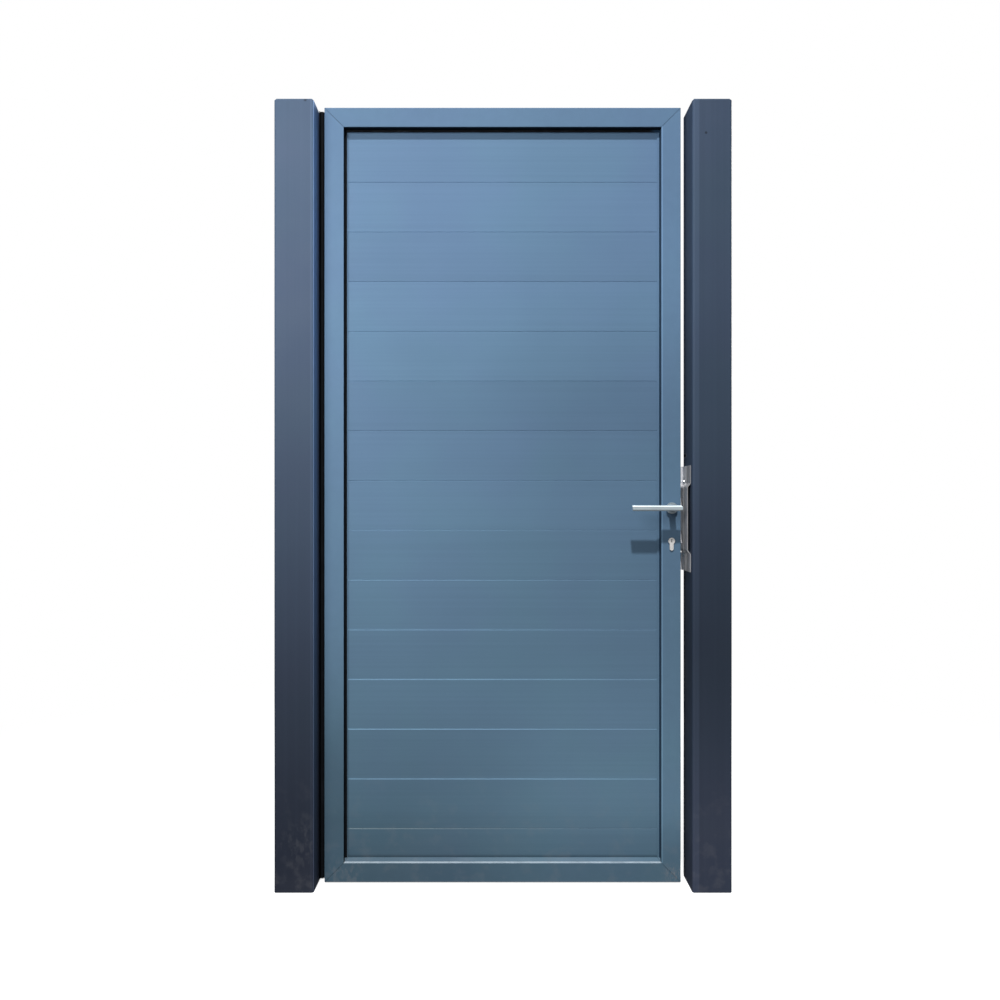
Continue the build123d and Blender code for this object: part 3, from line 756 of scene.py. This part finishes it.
def black_rubber(metals):
    """Matte black rubber with grey bloom, tinted the dark blue of the shaded reveal beside the lock stile as
    painted shade.
    """
    finish = Finish("black_rubber")
    bloom = finish.ramp(finish.noise(60.0, 5.0, stretch=(1.0, 1.0, 0.3)), 0.50, 0.75, 0.0, 0.35)
    colour = finish.mix(bloom, metals.rubber, metals.bloom)
    # Painted shade: the rubber beside the lock stile takes the shaded reveal's dark blue
    worn = finish.ramp(finish.x, LEAF_HIGH.x - 80.0 * MM, LEAF_HIGH.x - 60.0 * MM)
    colour = finish.mix(worn, colour, metals.rubber_reveal_shade)
    roughness = finish.ramp(finish.noise(30.0, 3.0), *SOFT_NOISE, 0.62, 0.85)
    normal = finish.bump(finish.noise(900.0, 2.0), 0.06 * MM)
    return finish.surface(Base_Color=colour, Roughness=roughness, Specular_IOR_Level=0.10, Normal=normal)


def paint(name, material):
    """Puts a material on one node."""
    for holder in frame["nodes"][name].material_slots:
        holder.material = material


def give(material, slot):
    """Puts a material on every node of a slot of the record."""
    names = [row["node"] for row in frame["record"]["subparts"] if row["material_slot"] == slot]
    if not names:
        raise RuntimeError(f"no node has the slot {slot}")
    for name in names:
        paint(name, material)


# Trim and screws


def add_piece(name, mesh, material, body):
    """A finished piece: its place is in its mesh, and it moves with a body."""
    piece = bpy.data.objects.new(name, mesh)
    bpy.context.scene.collection.objects.link(piece)
    mesh.materials.clear()
    mesh.materials.append(material)
    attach(piece, body)
    return piece


def swept_mesh(name, rings):
    """A closed bar through rings of points, with flat ends."""
    count = len(rings[0])
    points = [point for ring in rings for point in ring]
    faces = [tuple(range(count))[::-1], tuple(range(len(points) - count, len(points)))]
    for start in range(0, len(points) - count, count):
        for i in range(count):
            j = (i + 1) % count
            faces.append((start + i, start + j, start + count + j, start + count + i))
    mesh = bpy.data.meshes.new(name)
    mesh.from_pydata(points, [], faces)
    mesh.validate()
    return outward(mesh)


def outward(mesh):
    """Turns every face of a closed mesh outwards."""
    shape = bmesh.new()
    shape.from_mesh(mesh)
    bmesh.ops.recalc_face_normals(shape, faces=shape.faces)
    shape.to_mesh(mesh)
    shape.free()
    return mesh


def panel_opening(trim):
    """Left, right, bottom and top edge of the frame's inside, where its lips start."""
    lip = trim.lip_height
    left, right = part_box("hinge_stile")[1].x - lip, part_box("lock_stile")[0].x + lip
    return left, right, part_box("bottom_rail")[1].z - lip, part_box("top_rail")[0].z + lip


def lip_face(trim, side):
    """Y of a lip's outer face, at the front for side -1 and at the back for side 1."""
    return LEAF_LOW.y + trim.lip_inset if side < 0 else LEAF_HIGH.y - trim.lip_inset


def gasket_mesh(name, trim, side):
    """A half-round gasket up one side of the opening, along the top and down the other side."""
    left, right, bottom, top = panel_opening(trim)
    lip = lip_face(trim, side)
    profile = []
    for i in range(GASKET_STEPS + 1):
        turn = math.pi * i / GASKET_STEPS
        profile.append(((1 - math.cos(turn)) / 2, lip + side * trim.gasket_rise * math.sin(turn)))
    foot = bottom + trim.lip_height
    hinge, over, lock = trim.gasket_hinge, trim.gasket_top, trim.gasket_lock
    rings = [
        [(left + u * hinge, y, foot) for u, y in profile],
        [(left + u * hinge, y, top - u * over) for u, y in profile],
        [(right - u * lock, y, top - u * over) for u, y in profile],
        [(right - u * lock, y, foot) for u, y in profile],
    ]
    return swept_mesh(name, rings)


def bead_mesh(name, trim, side):
    """A sloped bead on the bottom lip, which sheds water from the boards."""
    left, right, bottom, _ = panel_opening(trim)
    lip = lip_face(trim, side)
    nose = lip + side * trim.bead_deep
    brow = lip + side * trim.bead_deep * BEAD_BROW
    top = bottom + trim.lip_height
    section = [(lip, bottom), (nose, bottom), (nose, bottom + BEAD_NOSE * MM), (brow, top), (lip, top)]
    return swept_mesh(name, [[(x, y, z) for y, z in section] for x in (left, right)])


def keep_edges_mesh():
    """The keep's turned-up back edges beside its tabs, and the guards behind its two slots."""
    low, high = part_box("latch_keep")
    tab, thick = KEEP_TAB_TALL * MM, KEEP_PLATE * MM
    shape = bmesh.new()
    for edge, z_low, z_high in (
        (high.y, low.z, low.z + tab),
        (high.y, high.z - tab, high.z),
        (high.y - KEEP_GUARD_FROM_BACK * MM, low.z + tab, high.z - tab),
    ):
        near = low.x if edge == high.y else low.x + thick
        size = Vector((high.x - near, thick, z_high - z_low))
        middle = Vector((near, edge - thick, z_low)) + size / 2
        made = bmesh.ops.create_cube(shape, size=1.0)
        bmesh.ops.scale(shape, vec=size, verts=made["verts"])
        bmesh.ops.translate(shape, vec=middle, verts=made["verts"])
    mesh = bpy.data.meshes.new("keep_edges")
    shape.to_mesh(mesh)
    shape.free()
    return mesh


class ShapeTree(Nodes):
    """A geometry nodes tree under construction."""

    def __init__(self, name):
        super().__init__(bpy.data.node_groups.new(name, "GeometryNodeTree"))
        self.start = self.tree.nodes.new("NodeGroupInput")
        self.end = self.tree.nodes.new("NodeGroupOutput")
        self.names = {}

    def input(self, name, kind):
        socket = self.tree.interface.new_socket(name, in_out="INPUT", socket_type=kind)
        self.names[name] = socket.identifier

    def output(self, name, kind):
        self.tree.interface.new_socket(name, in_out="OUTPUT", socket_type=kind)

    def given(self, name):
        return self.start.outputs[name]

    def vector(self, x, y, z):
        return self.node("ShaderNodeCombineXYZ", {0: x, 1: y, 2: z}).outputs[0]


def screw_tree():
    """Domed screw heads with a cross recess on every point, all facing one way and each turned on."""
    shape = ShapeTree("screw_heads")
    shape.input("Points", "NodeSocketGeometry")
    shape.input("Facing", "NodeSocketVector")
    shape.input("Head radius", "NodeSocketFloat")
    shape.input("Head height", "NodeSocketFloat")
    shape.input("Sides", "NodeSocketInt")
    shape.input("Material", "NodeSocketMaterial")
    shape.output("Screws", "NodeSocketGeometry")
    radius, height = shape.given("Head radius"), shape.given("Head height")

    drum = shape.node(
        "GeometryNodeMeshCylinder",
        {"Vertices": shape.given("Sides"), "Side Segments": HEAD_RINGS, "Radius": radius, "Depth": height},
    )
    place = shape.node("GeometryNodeInputPosition").outputs[0]
    split = shape.node("ShaderNodeSeparateXYZ", {0: place})
    up = shape.math("ADD", shape.math("DIVIDE", split.outputs[2], height), 0.5)
    hollow = shape.math("MULTIPLY", shape.math("POWER", up, DOME_POWER), DOME_HOLLOW)
    narrow = shape.math("SQRT", shape.math("SUBTRACT", 1.0, hollow))
    domed = shape.vector(
        shape.math("MULTIPLY", split.outputs[0], narrow),
        shape.math("MULTIPLY", split.outputs[1], narrow),
        shape.math("MULTIPLY", up, height),
    )
    head = shape.node("GeometryNodeSetPosition", {"Geometry": drum.outputs["Mesh"], "Position": domed})

    slot_long = shape.math("MULTIPLY", radius, SLOT_LONG)
    slot_wide = shape.math("MULTIPLY", radius, SLOT_WIDE)
    slot_deep = shape.math("MULTIPLY", height, SLOT_DEEP)
    top = shape.vector(0.0, 0.0, height)
    slots = []
    for size in ((slot_long, slot_wide, slot_deep), (slot_wide, slot_long, slot_deep)):
        block = shape.node("GeometryNodeMeshCube", {"Size": shape.vector(*size)})
        moved = shape.node("GeometryNodeTransform", {"Geometry": block.outputs["Mesh"], "Translation": top})
        slots.append(moved.outputs[0])
    screw = shape.node(
        "GeometryNodeMeshBoolean", {"Mesh 1": head.outputs[0], "Mesh 2": slots}, operation="DIFFERENCE"
    )

    facing = shape.node("FunctionNodeAlignRotationToVector", {"Vector": shape.given("Facing")}, axis="Z")
    turn = shape.math("MULTIPLY", shape.node("GeometryNodeInputIndex").outputs[0], SCREW_TURN)
    spin = shape.node("FunctionNodeAxisAngleToRotation", {"Axis": (0.0, 0.0, 1.0), "Angle": turn})
    rotation = shape.node(
        "FunctionNodeRotateRotation",
        {"Rotation": facing.outputs[0], "Rotate By": spin.outputs[0]},
        rotation_space="LOCAL",
    )
    rows = {"Points": shape.given("Points"), "Instance": screw.outputs["Mesh"]}
    placed = shape.node("GeometryNodeInstanceOnPoints", {**rows, "Rotation": rotation.outputs[0]})
    real = shape.node("GeometryNodeRealizeInstances", {"Geometry": placed.outputs[0]})
    done = shape.node(
        "GeometryNodeSetMaterial", {"Geometry": real.outputs[0], "Material": shape.given("Material")}
    )
    shape.tree.links.new(done.outputs[0], shape.end.inputs["Screws"])
    return shape


def add_screws(name, points, facing, radius, material, body):
    """Screw heads at the points, made a plain mesh."""
    shape = screw_tree()
    dots = bpy.data.meshes.new(name + "_points")
    dots.from_pydata(points, [], [])
    holder = bpy.data.objects.new(name + "_points", dots)
    bpy.context.scene.collection.objects.link(holder)
    modifier = holder.modifiers.new("screws", "NODES")
    modifier.node_group = shape.tree
    values = {
        "Facing": facing,
        "Head radius": radius,
        "Head height": radius * HEAD_HEIGHT,
        "Sides": bpy.context.scene.gate_screws.sides,
        "Material": material,
    }
    for label, value in values.items():
        modifier[shape.names[label]] = value
    seen = holder.evaluated_get(bpy.context.evaluated_depsgraph_get())
    mesh = bpy.data.meshes.new_from_object(seen)
    holder.modifiers.remove(modifier)
    bpy.data.objects.remove(holder)
    bpy.data.meshes.remove(dots)
    if not mesh.polygons:
        raise RuntimeError(f"{name} came out empty")
    mesh.name = name
    return add_piece(name, mesh, material, body)


# Operators


class GATE_OT_coat_posts(Operator):
    """Coats the two posts and their caps"""

    bl_idname = "gate.coat_posts"
    bl_label = "Coat posts"

    def execute(self, context):
        give(post_coat(context.scene.gate_coats), "post_coating")
        return {"FINISHED"}


class GATE_OT_coat_frame(Operator):
    """Coats the leaf's mitred frame"""

    bl_idname = "gate.coat_frame"
    bl_label = "Coat frame"

    def execute(self, context):
        give(frame_coat(context.scene.gate_coats, context.scene.gate_trim), "frame_coating")
        return {"FINISHED"}


class GATE_OT_coat_boards(Operator):
    """Coats the boards, each with a tone of its own"""

    bl_idname = "gate.coat_boards"
    bl_label = "Coat boards"

    def execute(self, context):
        give(board_coat(context.scene.gate_coats, context.scene.gate_trim), "board_coating")
        return {"FINISHED"}


class GATE_OT_finish_hinges(Operator):
    """Coats the hinges, and gives them steel pins and screws"""

    bl_idname = "gate.finish_hinges"
    bl_label = "Finish hinges"

    def execute(self, context):
        screws, metals = context.scene.gate_screws, context.scene.gate_metals
        steel = brushed_metal("pin_steel", metals.pin, metals, PIN_BRUSH, 0.36)
        give(hinge_coat(context.scene.gate_coats), "hinge_coating")
        give(steel, "hinge_pin_steel")
        heads = {"post": [], "leaf": []}
        for place in ("top", "middle", "bottom"):
            for half, points in heads.items():
                low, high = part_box(f"hinge_{place}_{half}_half")
                outer, inwards = (low.x, 1) if half == "post" else (high.x, -1)
                middle = outer + inwards * screws.hinge_plate / 2
                face = LEAF_HIGH.y + HINGE_PLATE_THICK * MM
                for share, sway in HINGE_SCREWS:
                    z = low.z + share * (high.z - low.z)
                    points.append((middle + inwards * sway * MM, face, z))
        for half, body in (("post", "posts"), ("leaf", "leaf")):
            name = f"hinge_{half}_screws"
            add_screws(name, heads[half], (0, 1, 0), screws.hinge_radius, steel, body)
        return {"FINISHED"}


class GATE_OT_finish_lock(Operator):
    """Finishes the lock's forend, bolts, case and cylinder, with their screws"""

    bl_idname = "gate.finish_lock"
    bl_label = "Finish lock"

    def execute(self, context):
        screws, metals = context.scene.gate_screws, context.scene.gate_metals
        steel = brushed_metal("stainless_upright", metals.steel, metals, FOREND_BRUSH, 0.34, 0.18)
        give(steel, "stainless_steel")
        give(brushed_metal("case_zinc", metals.pin, metals, CASE_BRUSH, 0.5), "lock_case_steel")
        nickel = brushed_metal("cylinder_nickel", metals.nickel, metals, FINE_BRUSH, 0.34, 0.06, 0.5)
        give(nickel, "cylinder_nickel")
        low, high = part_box("lock_forend")
        across = (low.y + high.y) / 2
        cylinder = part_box("cylinder_body")
        points = [
            (high.x, across, low.z + FOREND_SCREW_FROM_END * MM),
            (high.x, across, high.z - FOREND_SCREW_FROM_END * MM),
            (high.x, across, cylinder[0].z + CYLINDER_SCREW_RISE * MM),
        ]
        add_screws("forend_screws", points, (1, 0, 0), screws.lock_radius, steel, "leaf")
        return {"FINISHED"}


class GATE_OT_finish_keep(Operator):
    """Gives the keep its dull zinc plate and screws it to the latch post"""

    bl_idname = "gate.finish_keep"
    bl_label = "Finish keep"

    def execute(self, context):
        screws, metals = context.scene.gate_screws, context.scene.gate_metals
        steel = brushed_metal("screw_stainless", metals.lever, metals, HEAD_BRUSH, 0.28)
        zinc = keep_zinc(metals)
        paint("latch_keep", zinc)
        low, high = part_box("latch_keep")
        face, across = high.x - KEEP_PLATE * MM, high.y - KEEP_SCREW_FROM_BACK * MM
        from_end = KEEP_SCREW_FROM_END * MM
        points = [(face, across, z) for z in (low.z + from_end, high.z - from_end)]
        add_piece("keep_edges", keep_edges_mesh(), zinc, "posts")
        add_screws("keep_screws", points, (-1, 0, 0), screws.keep_radius, steel, "posts")
        return {"FINISHED"}


class GATE_OT_finish_levers(Operator):
    """Finishes the levers and roses, with a grub screw under each neck"""

    bl_idname = "gate.finish_levers"
    bl_label = "Finish levers"

    def execute(self, context):
        screws, metals = context.scene.gate_screws, context.scene.gate_metals
        satin = brushed_metal("lever_satin", metals.lever, metals, LEVER_BRUSH, 0.36, 0.06, 0.7)
        give(satin, "lever_satin")
        # The roses' darker colour is painted shade from the levers
        dull = brushed_metal("rose_satin", metals.rose, metals, FINE_BRUSH, 0.40, 0.10, 0.8)
        for name in ("rose_front", "rose_back"):
            paint(name, dull)
        steel = brushed_metal("grub_steel", metals.pin, metals, PIN_BRUSH, 0.4)
        points = []
        for rose, lever in (("rose_front", "lever_front"), ("rose_back", "lever_back")):
            low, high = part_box(rose)
            middle = (low + high) / 2
            bar_low, bar_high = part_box(lever)
            neck_low = middle.z - NECK_RADIUS * MM
            deep = LEVER_DEEP * MM
            gap = (low.y + bar_low.y + deep) / 2 if middle.y < 0 else (high.y + bar_high.y - deep) / 2
            points.append((middle.x, gap, neck_low + GRUB_SUNK * MM))
        name, facing, radius = "lever_grub_screws", (0, 0, -1), screws.grub_radius
        add_screws(name, points, facing, radius, steel, "lever")
        return {"FINISHED"}


class GATE_OT_fit_seals(Operator):
    """Finishes the seal beside the leaf, and lays gaskets and sloped beads round the boards"""

    bl_idname = "gate.fit_seals"
    bl_label = "Fit seals"

    def execute(self, context):
        trim = context.scene.gate_trim
        rubber = black_rubber(context.scene.gate_metals)
        give(rubber, "seal_rubber")
        coat = frame["nodes"]["bottom_rail"].material_slots[0].material
        for label, side in (("front", -1), ("back", 1)):
            gasket = gasket_mesh(f"gasket_{label}", trim, side)
            add_piece(f"gasket_{label}", gasket, rubber, "leaf")
            bead = bead_mesh(f"drip_bead_{label}", trim, side)
            add_piece(f"drip_bead_{label}", bead, coat, "leaf")
        return {"FINISHED"}


class GATE_OT_set_stage(Operator):
    """Sets the floor, the lights and the camera"""

    bl_idname = "gate.set_stage"
    bl_label = "Set stage"

    def execute(self, context):
        stage = context.scene.gate_stage
        middle = (cad_box[0] + cad_box[1]) / 2
        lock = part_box("rose_front")[0]
        add_floor(stage, middle)
        add_world(stage)
        add_lamp("key_lamp", stage.key, KEY_SIZE, lock + KEY_FROM_LOCK, lock)
        add_lamp("side_lamp", stage.side, SIDE_SIZE, SIDE_PLACE, SIDE_TARGET)
        add_lamp("front_card", stage.card, CARD_SIZE, CARD_PLACE, middle)
        add_lamp("back_lamp", stage.back, BACK_SIZE, BACK_PLACE, middle)
        add_camera(stage)
        return {"FINISHED"}


def floor_paper(stage, middle):
    """Pale paper that keeps the gate's shadow and turns white away from it."""
    finish = Finish("floor_paper")
    paper = finish.node("ShaderNodeBsdfDiffuse", {"Color": stage.floor}).outputs[0]
    glow = finish.node("ShaderNodeEmission", {"Strength": FLOOR_GLOW}).outputs[0]
    near = finish.node("ShaderNodeAddShader", {0: paper, 1: glow}).outputs[0]
    white = finish.node("ShaderNodeEmission", {"Strength": 1.0}).outputs[0]
    distance = finish.away(finish.x, middle.x, finish.y, middle.y)
    seen = finish.blend(finish.ramp(distance, *FLOOR_FADE), near, white)
    thrown = finish.node("ShaderNodeBsdfDiffuse", {"Color": stage.bounce}).outputs[0]
    camera_ray = finish.node("ShaderNodeLightPath").outputs["Is Camera Ray"]
    return finish.end(finish.blend(camera_ray, thrown, seen))


def add_floor(stage, middle):
    """A square floor just under the posts."""
    half, drop = FLOOR_HALF, FLOOR_DROP
    mesh = bpy.data.meshes.new("floor")
    corners = [(-half, -half, -drop), (half, -half, -drop), (half, half, -drop), (-half, half, -drop)]
    mesh.from_pydata(corners, [], [(0, 1, 2, 3)])
    mesh.materials.append(floor_paper(stage, middle))
    floor = bpy.data.objects.new("floor", mesh)
    bpy.context.scene.collection.objects.link(floor)


def add_world(stage):
    """Even light from all round, and a white background."""
    world = bpy.data.worlds.new("studio")
    bpy.context.scene.world = world
    world.use_nodes = True
    nodes = Nodes(world.node_tree)
    white = (1.0, 1.0, 1.0)
    light = nodes.node("ShaderNodeBackground", {"Color": white, "Strength": stage.fill}).outputs[0]
    backdrop = nodes.node("ShaderNodeBackground", {"Color": white, "Strength": 1.0}).outputs[0]
    camera_ray = nodes.node("ShaderNodeLightPath").outputs["Is Camera Ray"]
    choice = nodes.node("ShaderNodeMixShader", {0: camera_ray, 1: light, 2: backdrop}).outputs[0]
    nodes.node("ShaderNodeOutputWorld", {"Surface": choice})


def add_lamp(name, power, size, place, target):
    """A square soft lamp at a place, aimed at a target."""
    lamp = bpy.data.lights.new(name, "AREA")
    lamp.energy = power
    lamp.size = size
    holder = bpy.data.objects.new(name, lamp)
    holder.location = place
    holder.rotation_euler = (target - place).to_track_quat("-Z", "Y").to_euler()
    holder.visible_camera = False
    bpy.context.scene.collection.objects.link(holder)


def add_camera(stage):
    """A level camera in front of the gate."""
    camera = bpy.data.cameras.new("camera")
    camera.lens = stage.lens
    camera.shift_x, camera.shift_y = stage.shift
    holder = bpy.data.objects.new("camera", camera)
    holder.location = stage.camera_place
    holder.rotation_euler = (math.radians(90.0), 0.0, 0.0)
    bpy.context.scene.collection.objects.link(holder)
    bpy.context.scene.camera = holder
    bpy.context.scene.view_settings.view_transform = "Standard"


class GATE_PT_builder(Panel):
    """The gate's settings and steps"""

    bl_idname = "GATE_PT_builder"
    bl_label = "Gate"
    bl_space_type = "VIEW_3D"
    bl_region_type = "UI"
    bl_category = "Gate"

    def draw(self, context):
        for group, place in SETTINGS.items():
            box = self.layout.box()
            for name in group.__annotations__:
                box.prop(getattr(context.scene, place), name)
        for step in STEPS:
            self.layout.operator(step.bl_idname)


SETTINGS = {
    GateCoats: "gate_coats",
    GateMetals: "gate_metals",
    GateTrim: "gate_trim",
    GateScrews: "gate_screws",
    GateStage: "gate_stage",
}
STEPS = (
    GATE_OT_coat_posts,
    GATE_OT_coat_frame,
    GATE_OT_coat_boards,
    GATE_OT_finish_hinges,
    GATE_OT_finish_lock,
    GATE_OT_finish_keep,
    GATE_OT_finish_levers,
    GATE_OT_fit_seals,
    GATE_OT_set_stage,
)
CLASSES = (*SETTINGS, *STEPS, GATE_PT_builder)


def register():
    for kind in CLASSES:
        bpy.utils.register_class(kind)
    for group, place in SETTINGS.items():
        setattr(bpy.types.Scene, place, PointerProperty(type=group))


def unregister():
    for place in SETTINGS.values():
        delattr(bpy.types.Scene, place)
    for kind in reversed(CLASSES):
        bpy.utils.unregister_class(kind)


def main():
    register()
    bpy.ops.gate.coat_posts()
    bpy.ops.gate.coat_frame()
    bpy.ops.gate.coat_boards()
    bpy.ops.gate.finish_hinges()
    bpy.ops.gate.finish_lock()
    bpy.ops.gate.finish_keep()
    bpy.ops.gate.finish_levers()
    bpy.ops.gate.fit_seals()
    bpy.ops.gate.set_stage()


if __name__ == "__main__":
    main()
